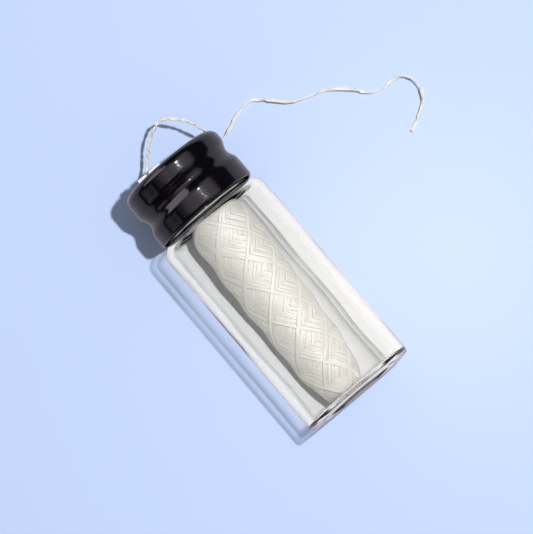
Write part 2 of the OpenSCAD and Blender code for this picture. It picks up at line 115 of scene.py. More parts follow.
def smooth_route(points, steps):
    """The same curve through the points as the part's source draws."""
    points = [Vector(p) for p in points]
    last = len(points) - 1
    route = []
    for i in range(last):
        a, b = points[max(0, i - 1)], points[i]
        c, d = points[i + 1], points[min(last, i + 2)]
        for k in range(steps):
            t = k / steps
            route.append(0.5 * (2 * b + (c - a) * t + (2 * a - 5 * b + 4 * c - d) * t * t
                                + (3 * b - a - 3 * c + d) * t ** 3))
    route.append(points[last])
    return route


def swept_piece(name, verts, faces, uvs):
    """A smooth closed mesh with a UV map that runs along its path in millimetres."""
    mesh = bpy.data.meshes.new(name)
    mesh.from_pydata([tuple(v) for v in verts], [], faces)
    mesh.update()
    layer = mesh.uv_layers.new(name="along")
    loop_verts = np.zeros(len(mesh.loops), dtype=np.int32)
    mesh.loops.foreach_get("vertex_index", loop_verts)
    layer.data.foreach_set("uv", np.asarray(uvs, dtype=np.float32)[loop_verts].ravel())
    mesh.polygons.foreach_set("use_smooth", [True] * len(mesh.polygons))
    turned_out = bmesh.new()
    turned_out.from_mesh(mesh)
    bmesh.ops.recalc_face_normals(turned_out, faces=turned_out.faces)
    turned_out.to_mesh(mesh)
    turned_out.free()
    piece = bpy.data.objects.new(name, mesh)
    scene.collection.objects.link(piece)
    return piece


def waves(at, parts):
    """Sum of the waves at a place, each given as its size, run and start."""
    return sum(size * math.sin(at / run + start) for size, run, start in parts)


def floss_ribbon(name, route, twist, plies, ragged_end):
    """Sweep the floss's section along a route in metres. At each millimetre, twist gives
    its turn in degrees, and plies how far the ribbon is rolled into two strands."""
    verts, faces, uvs = [], [], []
    up = Vector((0, 0, 1))
    travelled = 0.0
    last = len(route) - 1
    for i, point in enumerate(route):
        ahead = (route[min(last, i + 1)] - route[max(0, i - 1)]).normalized()
        if i:
            travelled += (point - route[i - 1]).length * 1000
        if abs(ahead.dot(up)) > 0.999:
            up = Vector((0, 1, 0))
        up = (up - ahead * up.dot(ahead)).normalized()
        across = ahead.cross(up)
        turn = math.radians(twist(travelled))
        wide = math.cos(turn) * across + math.sin(turn) * up
        thin = math.cos(turn) * up - math.sin(turn) * across
        rolled = plies(travelled)
        slack = 1 - sum(size for size, _, _ in WIDTH_WAVES) - waves(travelled, WIDTH_WAVES)
        for k in range(RIBBON_SIDES):
            a = 2 * math.pi * k / RIBBON_SIDES
            flat_x = FLOSS_WIDTH / 2 * math.copysign(abs(math.cos(a)) ** 0.8, math.cos(a))
            flat_y = FLOSS_THICKNESS / 2 * math.sin(a)
            waist = PLIED_WAIST + PLIED_BELLY * abs(math.cos(a)) ** 0.7
            plied_x = PLIED_WIDTH / 2 * math.cos(a)
            plied_y = waist * math.sin(a) * (0.55 + 0.75 * abs(math.cos(a)))
            x = slack * ((1 - rolled) * flat_x + rolled * plied_x)
            y = (1 - rolled) * flat_y + rolled * plied_y
            y += 0.05 * (1 - rolled) * math.sin(9.0 * x + 0.8 * travelled)
            frayed = 0.0
            if ragged_end and i > last - FRAYED_RINGS:
                share = (i - last + FRAYED_RINGS) / FRAYED_RINGS
                frayed = FRAY * share * math.sin(17.0 * k)
            verts.append(point + (x * wide + y * thin + frayed * ahead) / 1000)
            uvs.append((travelled, k / RIBBON_SIDES))
    for i in range(last):
        for k in range(RIBBON_SIDES):
            here, beside = i * RIBBON_SIDES + k, i * RIBBON_SIDES + (k + 1) % RIBBON_SIDES
            faces.append((here, here + RIBBON_SIDES, beside + RIBBON_SIDES, beside))
    faces.append(tuple(range(RIBBON_SIDES)))
    faces.append(tuple(last * RIBBON_SIDES + k for k in reversed(range(RIBBON_SIDES))))
    return swept_piece(name, verts, faces, uvs)


def ease(t):
    """Soft step from 0 to 1."""
    t = max(0.0, min(1.0, t))
    return t * t * (3 - 2 * t)


def strand_twist(mm):
    """Turn of the floss in degrees: quick and uneven in the loop, slow along the table."""
    return (LOOP_TWIST * min(mm, LOOP_LENGTH) + TAIL_TWIST * max(0.0, mm - LOOP_LENGTH)
            + waves(mm, TWIST_WAVES))


def strand_plies(mm):
    """The rolled floss opens into a flat ribbon where it comes down."""
    return 1.0 - OPENED_OUT * ease((mm - UNTWIST_START) / UNTWIST_RUN)


def material(name, colour, roughness):
    """A new material, with its node tree and its Principled BSDF in plain constants."""
    made = bpy.data.materials.new(name)
    made.use_nodes = True
    shader = made.node_tree.nodes["Principled BSDF"]
    shader.inputs["Base Color"].default_value = (*colour, 1)
    shader.inputs["Roughness"].default_value = roughness
    return made, made.node_tree, shader


def feed(tree, socket, value):
    """Give a node's socket a number, a colour or what another socket puts out."""
    if isinstance(value, bpy.types.NodeSocket):
        tree.links.new(value, socket)
    elif isinstance(value, tuple):
        socket.default_value = (*value, 1)
    else:
        socket.default_value = value


def placed(tree, kind, **values):
    """Place a node and feed the sockets that are named."""
    node = tree.nodes.new(kind)
    for name, value in values.items():
        feed(tree, node.inputs[name], value)
    return node


def coordinates(tree, kind):
    """A texture coordinate, such as Object or UV."""
    return placed(tree, "ShaderNodeTexCoord").outputs[kind]


def noise(tree, vector, scale, detail=2.0):
    """Soft noise from 0 to 1 at the places that the vector gives."""
    return placed(tree, "ShaderNodeTexNoise", Vector=vector, Scale=scale,
                  Detail=detail).outputs["Fac"]


def reckon(tree, operation, *values):
    """What a Math node makes of two or three values."""
    node = tree.nodes.new("ShaderNodeMath")
    node.operation = operation
    for socket, value in zip(node.inputs, values):
        feed(tree, socket, value)
    return node.outputs["Value"]


def spread(tree, value, low, high, to_low=0.0, to_high=1.0, curve="LINEAR"):
    """A value taken from the range low to high to the range to_low to to_high."""
    node = tree.nodes.new("ShaderNodeMapRange")
    node.interpolation_type = curve
    for socket, given in (("Value", value), ("From Min", low), ("From Max", high),
                          ("To Min", to_low), ("To Max", to_high)):
        feed(tree, node.inputs[socket], given)
    return node.outputs["Result"]


def blend(tree, share, first, second):
    """The first colour where the share is 0, the second where it is 1."""
    node = tree.nodes.new("ShaderNodeMix")
    node.data_type = "RGBA"
    for socket, given in (("Factor", share), ("A", first), ("B", second)):
        feed(tree, node.inputs[socket], given)
    return node.outputs["Result"]


def emboss(tree, shader, height, distance, strength=1.0):
    """Bump the shader's surface by a height, with the distance in metres."""
    bump = placed(tree, "ShaderNodeBump", Distance=distance, Strength=strength, Height=height)
    tree.links.new(bump.outputs["Normal"], shader.inputs["Normal"])


def shader_group(name, takes, gives):
    """A new node group. takes and gives name its sockets and their kinds."""
    group = bpy.data.node_groups.new(name, "ShaderNodeTree")
    for in_out, sockets in (("INPUT", takes), ("OUTPUT", gives)):
        for socket, kind in sockets.items():
            group.interface.new_socket(name=socket, in_out=in_out,
                                       socket_type="NodeSocket" + kind)
    given = group.nodes.new("NodeGroupInput").outputs
    out = group.nodes.new("NodeGroupOutput").inputs
    return group, given, out


def place_group(tree, group, values):
    """Place a node group with its own values, and give what it puts out."""
    node = tree.nodes.new("ShaderNodeGroup")
    node.node_tree = group
    for name, value in values.items():
        feed(tree, node.inputs[name], value)
    return node.outputs


def lay_of_threads():
    """Fine filaments along the floss, with soft blotches of wax. Feeds colour and height."""
    group, given, out = shader_group(
        "waxed_filaments",
        {"Vector": "Vector", "Filaments": "Float", "Light": "Color", "Dark": "Color"},
        {"Color": "Color", "Height": "Float"})
    lengthwise = placed(group, "ShaderNodeCombineXYZ", X=0.35, Y=given["Filaments"], Z=1.0)
    stretch = placed(group, "ShaderNodeMapping", Vector=given["Vector"],
                     Scale=lengthwise.outputs["Vector"])
    filaments = noise(group, stretch.outputs["Vector"], 1.0, 3.0)
    blotches = noise(group, given["Vector"], 0.35, 4.0)
    both = reckon(group, "MULTIPLY_ADD", filaments, 0.55, blotches)
    lightness = spread(group, both, 0.55, 1.0)
    feed(group, out["Color"], blend(group, lightness, given["Dark"], given["Light"]))
    feed(group, out["Height"], filaments)
    return group


def floss_finish(name, light, dark, filaments, depth):
    """Waxed filaments, a little translucent, with a soft sheen."""
    made, tree, shader = material(name, light, 0.42)
    shader.inputs["Subsurface Weight"].default_value = 0.3
    shader.inputs["Subsurface Radius"].default_value = (1.0, 0.92, 0.75)
    shader.inputs["Subsurface Scale"].default_value = 0.0004
    shader.inputs["Sheen Weight"].default_value = 0.15
    shader.inputs["Specular IOR Level"].default_value = 0.45
    threads = place_group(tree, waxed_filaments, {
        "Vector": coordinates(tree, "UV"), "Filaments": filaments,
        "Light": light, "Dark": dark})
    feed(tree, shader.inputs["Base Color"], threads["Color"])
    emboss(tree, shader, threads["Height"], depth)
    return made


waxed_filaments = lay_of_threads()
strand_finish = floss_finish("waxed_floss", light=(0.90, 0.885, 0.84), dark=(0.58, 0.53, 0.49),
                             filaments=22.0, depth=0.00008)
strand_line = smooth_route(strand_route, 8)
strand = floss_ribbon("strand", [laid_down(*p) for p in strand_line],
                      strand_twist, strand_plies, True)
strand.data.materials.append(strand_finish)
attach(strand, "floss_end")
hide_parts("floss_strand")


# Floss roll: about forty metres of floss, cross-wound without a spool. It is drawn from
# a small hole in its head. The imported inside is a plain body, and the outer passes run
# from end to end and back, each over the ones before it.
ROLL_FOOT = np.array((-5.036, -2.1, 2.0))
ROLL_HEAD = np.array((-2.204, 0.3, 48.0))
ROLL_RISE = 46.0
ROLL_RADIUS = 6.7
FOOT_RADIUS = 4.2
HEAD_RADIUS = 5.2
FOOT_RUN = 5.2
HEAD_RUN = 7.0
ROLL_SWELL = 0.1
CYCLES = 76
BAND_COUNT = 15
CROSSINGS = 5
TURN_SHARE = 0.055
PASS_ANGLE = 180 * (2 + BAND_COUNT / CYCLES)
PASS_LENGTH = 62.0
WANDER = ((0.020, 2.31, 0.4), (0.016, 3.77, 2.0), (0.010, 9.13, 0.0), (0.008, 5.21, 1.1))
SWELL_HEIGHT = 0.08
TAPE_WIDTH = 0.86
TAPE_THICKNESS = 0.01
TAPE_LIFT = 0.006
TAPE_LAYERS = 4
CELL = 0.1
SAMPLES = 620
RINGS = 78
roll_length = float(np.linalg.norm(ROLL_HEAD - ROLL_FOOT))
roll_ahead = (ROLL_HEAD - ROLL_FOOT) / roll_length
roll_side = np.cross((0.0, 1.0, 0.0), roll_ahead)
roll_side /= np.linalg.norm(roll_side)
roll_up = np.cross(roll_ahead, roll_side)


def roll_outline(s):
    """Radius of the finished roll at a distance along it, in millimetres."""
    s = np.asarray(s, float)
    return (FOOT_RADIUS + (ROLL_RADIUS - FOOT_RADIUS) * (1 - np.exp(-s / FOOT_RUN))
            + ROLL_SWELL * s / ROLL_RISE - (ROLL_RADIUS - HEAD_RADIUS)
            * np.maximum(0, (s - (ROLL_RISE - HEAD_RUN)) / HEAD_RUN) ** 3)


def on_roll(radius, angle, s):
    """Points in metres, from radius and distance in millimetres and angle in radians."""
    p = (ROLL_FOOT + np.multiply.outer(radius * np.cos(angle), roll_side)
         + np.multiply.outer(radius * np.sin(angle), roll_up) + np.multiply.outer(s, roll_ahead))
    return np.stack(((p[..., 2] - HALF_LENGTH), -p[..., 1], (p[..., 0] + VIAL_RADIUS)), -1) / 1000


def climbed(x):
    """Share of the roll's length that a pass has climbed, with a soft turn at each end."""
    k = 1 / (1 - TURN_SHARE)
    early = k * x * x / (2 * TURN_SHARE)
    late = 1 - k * (1 - x) ** 2 / (2 * TURN_SHARE)
    return np.where(x < TURN_SHARE, early,
                    np.where(x > 1 - TURN_SHARE, late, k * (x - TURN_SHARE / 2)))


def pass_line(index):
    """Angle and distance along the roll of one pass, up it or back, with a little wander."""
    x = np.linspace(0, 1, SAMPLES)
    whole = index + x
    wander = sum(size * np.sin(rate * whole + start) for size, rate, start in WANDER)
    angle = whole * math.radians(PASS_ANGLE) + wander
    share = climbed(x) if index % 2 == 0 else 1 - climbed(x)
    low = 0.2 + 0.15 * np.sin(1.7 * index)
    high = roll_length - 0.3 - 0.2 * np.sin(2.3 * index)
    return angle, low + (high - low) * share


def wound_radius(s, angle):
    """The roll's surface with the low swells that the crossing bands leave."""
    swirl = CROSSINGS * math.radians(PASS_ANGLE) / roll_length
    hollows = (2 - np.cos(CROSSINGS * angle - swirl * s + 0.6)
               - np.cos(CROSSINGS * angle + swirl * s + 1.9))
    return roll_outline(s) + 0.06 - SWELL_HEIGHT * hollows


def with_neighbours(layers, combine):
    """Combine each sample along a pass with the four before it and the four after it."""
    padded = np.pad(layers, ((4, 4), (0, 0)), mode="edge")
    return combine([padded[k:k + SAMPLES] for k in range(9)], axis=0)


# The tape's section, across its width and in height: a low crown over a flat back. The
# passes are laid from the last to the first, and each sinks under those laid before it,
# which a grid of cells over the roll's surface counts.
section_v = np.array((-0.5, -0.27, 0.0, 0.27, 0.5, 0.3, -0.3))
section_h = np.array((-0.013, -0.001, 0.003, -0.001, -0.013, -0.045, -0.045))
corners = len(section_v)
rows = int(roll_length / CELL) + 2
later_layers = np.zeros((rows, 360), dtype=int)
tape_points, tape_uvs = [], []
for index in reversed(range(2 * CYCLES)):
    angle, s = pass_line(index)
    radius = roll_outline(s)
    step_x, step_y = np.gradient(angle) * radius, np.gradient(s)
    size = np.hypot(step_x, step_y)
    step_x, step_y = (step_x / size)[:, None], (step_y / size)[:, None]
    angle, s, radius = angle[:, None], s[:, None], radius[:, None]
    wide = TAPE_WIDTH * (0.97 + 0.06 * np.sin(angle * 1.3 + 2.1 * index))
    ring_s = np.clip(s + step_x * section_v * wide, -0.12, roll_length - 0.05)
    ring_a = angle - step_y * section_v * wide / radius
    cells = (np.maximum(ring_s / CELL, 0).round().astype(int),
             np.degrees(ring_a).round().astype(int) % 360)
    layers = np.minimum(later_layers[cells], TAPE_LAYERS).astype(float)
    layers = with_neighbours(with_neighbours(layers, np.max), np.mean)
    lift = TAPE_LIFT * math.sin(5.3 * index)
    ring_r = wound_radius(ring_s, ring_a) + lift - TAPE_THICKNESS * layers + section_h
    covered = np.zeros((rows, 360), dtype=bool)
    for v in np.linspace(-0.5, 0.5, 11):
        across_s = np.clip(s + step_x * v * wide, 0, roll_length)
        across_a = np.degrees(angle - step_y * v * wide / radius)
        covered[(across_s / CELL).round().astype(int), across_a.round().astype(int) % 360] = True
    later_layers += covered
    pick = np.linspace(0, SAMPLES - 1, RINGS).round().astype(int)[min(index, 1):]
    tape_points.append(on_roll(ring_r[pick], ring_a[pick], ring_s[pick]).reshape(-1, 3))
    run = PASS_LENGTH * index + PASS_LENGTH * pick / SAMPLES
    tape_uvs.append(np.stack(np.broadcast_arrays(
        run[:, None], (section_v + 0.5)[None, :] + 3.0 * index), -1).reshape(-1, 2))
tape_points = np.concatenate(tape_points[::-1])
tape_uvs = np.concatenate(tape_uvs[::-1])
first = np.arange(len(tape_points) // corners - 1)[:, None] * corners + np.arange(corners)
second = first - np.arange(corners) + (np.arange(corners) + 1) % corners
tape_faces = np.stack((first, second, second + corners, first + corners), -1).reshape(-1, 4)
winding = swept_piece(
    "roll_winding", tape_points,
    tape_faces.tolist() + [tuple(reversed(range(corners))),
                           tuple(range(len(tape_points) - corners, len(tape_points)))],
    tape_uvs)
winding.data.materials.append(
    floss_finish("wound_floss", light=(0.90, 0.872, 0.785), dark=(0.83, 0.795, 0.695),
                 filaments=9.0, depth=0.00004))
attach(winding, "roll")
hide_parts("floss_winding")

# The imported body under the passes, with the hole that the floss is drawn from.
ROLL_HOLE = 1.6
HOLE_DEPTH = 12
COIL_PITCH = 0.28
COIL_RIDGE = 0.07
PACKED_INSET = 0.62
FACE_INSET = 0.66
FOOT_FACE = 0.3
head_face = roll_length - 0.55


def deselect_all():
    """Leave edit mode with nothing selected."""
    if bpy.context.object and bpy.context.object.mode != "OBJECT":
        bpy.ops.object.mode_set(mode="OBJECT")
    bpy.ops.object.select_all(action="DESELECT")


def spun_piece(name, outline, steps, sharp):
    """Draw an outline as (distance along the vial, radius) in millimetres, point by point,
    and spin it round the vial's axis. Edges sharper than the angle stay sharp."""
    deselect_all()
    bpy.ops.mesh.primitive_plane_add(size=0.001, location=(0, 0, 0))
    piece = bpy.context.object
    piece.name = piece.data.name = name
    bpy.ops.object.mode_set(mode="EDIT")
    bpy.ops.mesh.select_all(action="SELECT")
    bpy.ops.mesh.merge(type="CENTER")
    spots = [laid_down(radius, 0, along) for along, radius in outline]
    bpy.ops.transform.translate(value=spots[0])
    for here, there in zip(spots, spots[1:]):
        bpy.ops.mesh.extrude_vertices_move(TRANSFORM_OT_translate={"value": there - here})
    bpy.ops.mesh.select_all(action="SELECT")
    bpy.ops.mesh.spin(steps=steps, angle=2 * math.pi, center=laid_down(0, 0, 0), axis=(1, 0, 0))
    bpy.ops.mesh.select_all(action="SELECT")
    bpy.ops.mesh.remove_doubles(threshold=0.000002)
    bpy.ops.mesh.normals_make_consistent(inside=False)
    bpy.ops.object.mode_set(mode="OBJECT")
    bpy.ops.object.shade_smooth_by_angle(angle=math.radians(sharp))
    return piece


def arc(centre, radius, start, end, steps):
    """Points of an arc as (along, radius), from angle start to angle end in degrees, where
    0 points away from the axis and 90 towards the cap."""
    points = []
    for i in range(steps + 1):
        a = math.radians(start + (end - start) * i / steps)
        points.append((centre[0] + radius * math.sin(a), centre[1] + radius * math.cos(a)))
    return points


def coil_face(face, inner, outer, outwards):
    """An end of the roll as the coils show there, ridge by ridge from inner to outer."""
    count = int(round((outer - inner) / COIL_PITCH)) * 6
    return [(face + outwards * COIL_RIDGE * abs(math.sin(math.pi * k / 6)),
             inner + (outer - inner) * k / count) for k in range(count + 1)]


body_outline = [(FOOT_FACE + 1.6, 0.0), (FOOT_FACE + 1.5, 0.6), (FOOT_FACE + 0.5, 0.75)]
body_outline += coil_face(FOOT_FACE, 0.95, float(roll_outline(FOOT_FACE)) - FACE_INSET, -1)
for s in np.linspace(FOOT_FACE + 0.1, head_face - 0.1, 70):
    body_outline.append((float(s), float(roll_outline(s)) - PACKED_INSET))
body_outline += coil_face(head_face, ROLL_HOLE + 0.2,
                          float(roll_outline(head_face)) - FACE_INSET, 1)[::-1]
body_outline += [(head_face - 0.35, ROLL_HOLE), (head_face - HOLE_DEPTH, ROLL_HOLE),
                 (head_face - HOLE_DEPTH, 0.0)]
roll_body = spun_piece("roll_body", body_outline, 96, 60)
spots = np.empty(len(roll_body.data.vertices) * 3)
roll_body.data.vertices.foreach_get("co", spots)
spots = spots.reshape(-1, 3) * 1000
spots_up, spots_side = spots[:, 2] - VIAL_RADIUS, -spots[:, 1]
leant = on_roll(np.hypot(spots_up, spots_side), np.arctan2(spots_side, spots_up),
                spots[:, 0] + HALF_LENGTH)
roll_body.data.vertices.foreach_set("co", leant.ravel())
roll_body.data.update()
packed_finish, tree, shader = material("packed_floss", (0.92, 0.895, 0.81), 0.5)
shader.inputs["Subsurface Weight"].default_value = 0.3
shader.inputs["Subsurface Radius"].default_value = (1.0, 0.9, 0.75)
shader.inputs["Subsurface Scale"].default_value = 0.0006
emboss(tree, shader, noise(tree, coordinates(tree, "Object"), 2600, 3), 0.0001)
roll_body.data.materials.append(packed_finish)
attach(roll_body, "roll")
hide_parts("floss_core")


# Floss lead: the same floss inside the vial, from the hole in the roll's head up to the
# eyelet, slack between them.
hole_axis = [tuple(ROLL_FOOT + roll_ahead * (roll_length - 12.6 + 4.0 * k)) for k in range(3)]
lead_route = hole_axis + [
    tuple(ROLL_HEAD), (ROLL_HEAD[0] * 0.72, ROLL_HEAD[1] * 0.8, 52.1),
    (ROLL_HEAD[0] * 0.3, ROLL_HEAD[1] * 0.4, 55.69), (ROLL_HEAD[0] * 0.04, 0, 58.05),
    (0, 0, 59.05), (0, 0, EYELET_MOUTH)]
lead = floss_ribbon("lead", [laid_down(*p) for p in smooth_route(lead_route, 10)],
                    lambda mm: 45.0 * mm, lambda mm: 0.6, False)
lead.data.materials.append(strand_finish)
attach(lead, "floss_end")
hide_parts("floss_lead")


# Glass vial: a blown bottle of clear soda glass, with a hollow base on a standing ring,
# a round shoulder and a threaded neck under the cap. Its walls are slightly uneven, as
# blown glass is, and its outside is bare and polished.
BODY_HEIGHT = 47.6
WALL = 1.5
BASE_THICKNESS = 0.95
PUSH_UP = 0.6
RING_RADIUS = 9.0
RING_WIDTH = 0.2
HEEL_RADIUS = 0.8
FLOOR_CORNER = 0.4
SHOULDER_WALL = 1.05
SHOULDER_RADIUS = 2.6
INNER_SHOULDER = 1.5
NECK_RADIUS = 10.1
NECK_BORE = 8.7
NECK_FILLET = 0.3
LIP = 58.25
LIP_ROUND = 0.35
THREAD_LEAD = 3.6
GROOVE_FRONT = 54.15
RIDGE_HEIGHT = 0.75
RIDGE_HALF = 1.0
RIDGE_END = 220
RIDGE_FADE = 40
WAVY_LOW = 3.2
WAVY_HIGH = 44.5
WAVY_RUN = 5
shoulder_stop = math.degrees(math.acos(
    (NECK_RADIUS + NECK_FILLET - VIAL_RADIUS + SHOULDER_RADIUS) / SHOULDER_RADIUS)) - 0.5
inside = VIAL_RADIUS - WALL
shoulder_inside = BODY_HEIGHT - SHOULDER_WALL
dish_edge = RING_RADIUS - 1.7
ring_out = RING_RADIUS + RING_WIDTH
vial_outline = [(PUSH_UP + 0.25, 0.0), (PUSH_UP + 0.22, 2.5), (PUSH_UP + 0.12, 5.0),
                (PUSH_UP, dish_edge)]
vial_outline += [(PUSH_UP * (1 - ease(k / 8)), dish_edge + 0.1 * k) for k in range(1, 9)]
vial_outline += [(0.0, ring_out)]
vial_outline += [(0.16 * math.sin(math.pi * k / 8), ring_out + 0.2 * k) for k in range(1, 8)]
vial_outline += arc((HEEL_RADIUS, VIAL_RADIUS - HEEL_RADIUS), HEEL_RADIUS, -90, 0, 10)
vial_outline += [(z, VIAL_RADIUS) for z in np.arange(3.0, 44.0, 2.0)]
vial_outline += arc((BODY_HEIGHT - SHOULDER_RADIUS, VIAL_RADIUS - SHOULDER_RADIUS),
                    SHOULDER_RADIUS, 0, shoulder_stop, 14)
vial_outline += arc((BODY_HEIGHT + NECK_FILLET, NECK_RADIUS + NECK_FILLET),
                    NECK_FILLET, 270, 180, 5)
vial_outline += [(z, NECK_RADIUS) for z in np.arange(48.2, 57.8, 0.3)]
vial_outline += arc((LIP - LIP_ROUND, NECK_RADIUS - LIP_ROUND), LIP_ROUND, 0, 90, 5)
vial_outline += arc((LIP - LIP_ROUND, NECK_BORE + LIP_ROUND), LIP_ROUND, 90, 180, 5)
vial_outline += [(z, NECK_BORE) for z in (56.0, 53.0, 50.0)]
vial_outline += arc((shoulder_inside + NECK_FILLET, NECK_BORE + NECK_FILLET),
                    NECK_FILLET, 180, 270, 8)
vial_outline += arc((shoulder_inside - INNER_SHOULDER, inside - INNER_SHOULDER),
                    INNER_SHOULDER, 90, 0, 12)
vial_outline += [(z, inside) for z in np.arange(43.0, 1.9, -2.0)]
vial_outline += arc((BASE_THICKNESS + FLOOR_CORNER, inside - FLOOR_CORNER),
                    FLOOR_CORNER, 0, -90, 8)
vial_outline += [(BASE_THICKNESS, 6.0), (BASE_THICKNESS, 3.0), (BASE_THICKNESS, 0.0)]
vial = spun_piece("vial", vial_outline, 160, 50)


def helix_height(angle):
    """Height of the thread at an angle in degrees round the vial, 0 at the top."""
    return GROOVE_FRONT + THREAD_LEAD * angle / 360


def push_round(piece, swell):
    """Move a spun piece's points away from the vial's axis by swell(along, radius, angle)
    in millimetres, with the angle in degrees, 0 at the top."""
    for vertex in piece.data.vertices:
        up, side = vertex.co.z * 1000 - VIAL_RADIUS, -vertex.co.y * 1000
        radius = math.hypot(up, side)
        angle = math.degrees(math.atan2(side, up))
        out = swell(vertex.co.x * 1000 + HALF_LENGTH, radius, angle)
        if out:
            vertex.co.z += out * up / radius / 1000
            vertex.co.y -= out * side / radius / 1000
    piece.data.update()


def vial_swell(along, radius, angle):
    """The raised thread on the neck, and the waves in the inside of the blown wall."""
    if along > 48.1 and radius > NECK_RADIUS - 0.05:
        swell = 0.0
        for turn in (-360, 0, 360):
            whole = angle + turn
            off = abs(along - helix_height(whole) - THREAD_LEAD / 2) / RIDGE_HALF
            if off < 1:
                fade = ease((RIDGE_END - abs(whole)) / RIDGE_FADE)
                swell = max(swell, RIDGE_HEIGHT * (0.5 + 0.5 * math.cos(math.pi * off)) * fade)
        return swell
    if WAVY_LOW < along < WAVY_HIGH and inside - 0.35 < radius < inside + 0.35:
        level = ease((along - WAVY_LOW) / WAVY_RUN) * ease((WAVY_HIGH - along) / WAVY_RUN)
        return level * (0.035 * math.sin(math.radians(2 * angle) + along / 9)
                        + 0.02 * math.sin(math.radians(5 * angle) - along / 6)
                        + 0.012 * math.sin(math.radians(9 * angle) + along / 3.1))
    return 0.0


push_round(vial, vial_swell)

glass_finish, tree, shader = material("clear_glass", (0.985, 0.993, 0.99), 0.0)
shader.inputs["Transmission Weight"].default_value = 1.0
shader.inputs["IOR"].default_value = 1.51
place = coordinates(tree, "Object")
emboss(tree, shader, noise(tree, place, 110, 1.0), 0.00012, 0.35)
# Light that passes the glass is dimmed where it runs through more of it: along the
# edges, unevenly, and in the base. Shadow and diffuse rays go straight through.
facing = placed(tree, "ShaderNodeLayerWeight", Blend=0.5).outputs["Facing"]
grazing = spread(tree, facing, 0.42, 0.95, curve="SMOOTHSTEP")
streaks = spread(tree, noise(tree, place, 85, 2), 0.35, 0.65, 0.55, 1.1)
along_vial = placed(tree, "ShaderNodeSeparateXYZ", Vector=place).outputs["X"]
base = spread(tree, along_vial, -0.0278, -0.0295, 0.0, 0.55, "SMOOTHSTEP")
depth = reckon(tree, "MAXIMUM", reckon(tree, "MULTIPLY", grazing, streaks), base)
clear = placed(tree, "ShaderNodeBsdfTransparent",
               Color=blend(tree, depth, (0.965, 0.965, 0.965), (0.5, 0.5, 0.51)))
path = placed(tree, "ShaderNodeLightPath").outputs
through = placed(tree, "ShaderNodeMixShader", Fac=reckon(
    tree, "MAXIMUM", path["Is Shadow Ray"], path["Is Diffuse Ray"]))
tree.links.new(shader.outputs["BSDF"], through.inputs[1])
tree.links.new(clear.outputs["BSDF"], through.inputs[2])
tree.links.new(through.outputs["Shader"], tree.nodes["Material Output"].inputs["Surface"])
vial.data.materials.append(glass_finish)
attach(vial, "vial")
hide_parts("glass_vial")


# Cap: drawn from thin sheet steel and lacquered black. The thread is rolled into its
# side as one broad helical groove, and its top is pressed down inside a round rim.
CAP_RADIUS = 11.8
CAP_WALL = 0.4
CAP_LOW = 48.0
EDGE_TUCK = 0.27
EDGE_RUN = 0.9
RIM_TOP = 60.6
PANEL_TOP = 59.7
PANEL_CORNER = 0.3
CROWN_RADIUS = 2.0
RIM_ROLL = 0.45
DISH_WALL = 9.35
GROOVE_DEPTH = 0.84
GROOVE_HALF = 2.7
GROOVE_END = 165
GROOVE_FADE = 45
EYELET_HOLE = 1.2
LACQUER_BLACK = (0.0022, 0.0018, 0.0028)
DUST_GREY = (0.016, 0.016, 0.018)


def side_radius(along):
    """Outer radius of the cap's side, drawn in a little at its lower edge."""
    return CAP_RADIUS - EDGE_TUCK * max(0.0, 1 - (along - CAP_LOW) / EDGE_RUN) ** 2


low_radius = side_radius(CAP_LOW)
under = PANEL_TOP - CAP_WALL
crown = (RIM_TOP - CROWN_RADIUS, CAP_RADIUS - CROWN_RADIUS)
panel_corner = (PANEL_TOP + PANEL_CORNER, DISH_WALL - PANEL_CORNER)
cap_outline = [(CAP_LOW + 0.05, low_radius - 0.28), (CAP_LOW, low_radius - 0.2),
               (CAP_LOW + 0.05, low_radius - 0.08)]
cap_outline += [(z, side_radius(z)) for z in np.arange(CAP_LOW + 0.15, 58.5, 0.2)]
cap_outline += arc(crown, CROWN_RADIUS, 0, 90, 14)
cap_outline += arc((RIM_TOP - RIM_ROLL, DISH_WALL + RIM_ROLL), RIM_ROLL, 90, 180, 6)[1:]
cap_outline += arc(panel_corner, PANEL_CORNER, 0, -90, 5)
cap_outline += [(PANEL_TOP, 8.4), (PANEL_TOP, 6.0), (PANEL_TOP, 3.0), (PANEL_TOP, EYELET_HOLE)]
cap_outline += [(under, EYELET_HOLE), (under, 6.0)]
cap_outline += arc(panel_corner, PANEL_CORNER + CAP_WALL, -90, 0, 5)
cap_outline += arc(crown, CROWN_RADIUS - CAP_WALL, 90, 0, 8)
cap_outline += [(z, side_radius(z) - CAP_WALL) for z in np.arange(58.3, CAP_LOW + 0.3, -0.3)]
cap_outline += [(CAP_LOW + 0.2, low_radius - 0.36), cap_outline[0]]
cap = spun_piece("cap", cap_outline, 144, 50)


def groove_dip(along, radius, angle):
    """The rolled groove, which fades out at the back of the cap."""
    off = abs(along - helix_height(angle)) / GROOVE_HALF
    if radius <= 10.5 or off >= 1:
        return 0.0
    fade = ease((GROOVE_END - abs(angle)) / GROOVE_FADE)
    return -GROOVE_DEPTH * (0.5 + 0.5 * math.cos(math.pi * off)) * fade


push_round(cap, groove_dip)


def specks_of_dust():
    """Sparse round grains of dust, in loose patches. Puts out where they are."""
    group, given, out = shader_group("dust_specks", {"Scale": "Float", "Size": "Float"},
                                     {"Mask": "Float"})
    place = coordinates(group, "Object")
    cells = placed(group, "ShaderNodeTexVoronoi", Vector=place, Scale=given["Scale"])
    chance = placed(group, "ShaderNodeSeparateColor", Color=cells.outputs["Color"])
    size = reckon(group, "MULTIPLY", chance.outputs["Red"], given["Size"])
    grain = spread(group, cells.outputs["Distance"], 0.0, size, 1.0, 0.0)
    patches = spread(group, noise(group, place, 160), 0.38, 0.58)
    feed(group, out["Mask"], reckon(group, "MULTIPLY", grain, patches))
    return group


